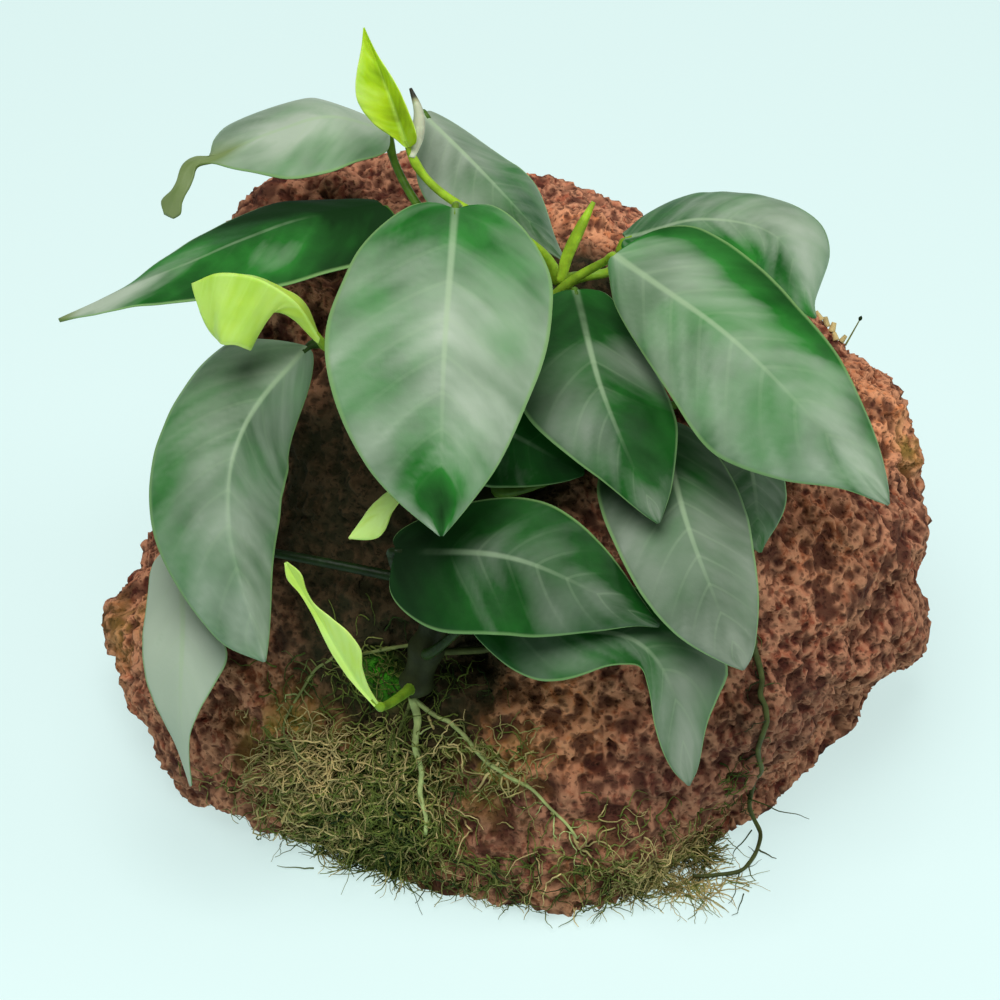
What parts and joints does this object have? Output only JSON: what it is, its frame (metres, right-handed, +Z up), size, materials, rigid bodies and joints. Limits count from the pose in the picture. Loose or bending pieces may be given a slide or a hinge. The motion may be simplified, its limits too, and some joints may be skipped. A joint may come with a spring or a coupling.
{
  "type": "anubias plant on lava rock",
  "caption": "Broad-leaved rhizome water plant rooted on a lump of porous red lava rock, with moss along its foot.",
  "frame": {"origin": "on the rock's flat foot, under the middle of the rock, at the height of the table", "axes": "+Z up; -Y towards the side that the plant grows on; +X to the viewer's right"},
  "size_m": [0.1997, 0.1776, 0.1836],
  "materials": {
    "lava_rock": "rough, full of small pores",
    "rhizome": "ringed, dull",
    "stalk": "satin",
    "root": "dull, hairy",
    "moss": "soft tangled strands",
    "leaf": "leathery with a soft sheen",
    "fresh_leaf": "satin, lets light through"
  },
  "bodies": {
    "root": {"lava_rock": "lava_rock", "rhizome": "rhizome", "new_shoot": "stalk", "root_front": "root", "root_left": "root", "root_right": "root", "root_far_left": "root", "root_loop": "root", "moss_front": "moss", "moss_foot": "moss", "leaf_front": "leaf", "leaf_left": "leaf", "leaf_left_low": "leaf", "leaf_left_far": "leaf", "leaf_top_left": "leaf", "leaf_top_right": "leaf", "leaf_right_front": "leaf", "leaf_right_back": "leaf", "leaf_middle": "leaf", "leaf_right_low": "leaf", "leaf_right_behind": "leaf", "leaf_lower": "leaf", "leaf_lower_right": "leaf", "leaf_behind_front": "leaf", "leaf_small_left": "fresh_leaf", "leaf_new_top": "fresh_leaf", "leaf_new_left": "fresh_leaf", "leaf_new_low": "fresh_leaf", "stalk_front": "stalk", "stalk_left": "stalk", "stalk_left_low": "stalk", "stalk_left_far": "stalk", "stalk_top_left": "stalk", "stalk_top_right": "stalk", "stalk_right_front": "stalk", "stalk_right_back": "stalk", "stalk_middle": "stalk", "stalk_right_low": "stalk", "stalk_right_behind": "stalk", "stalk_lower": "stalk", "stalk_lower_right": "stalk", "stalk_behind_front": "stalk", "stalk_small_left": "stalk", "stalk_new_top": "stalk", "stalk_new_left": "stalk", "stalk_new_low": "stalk"}
  },
  "joints": []
}
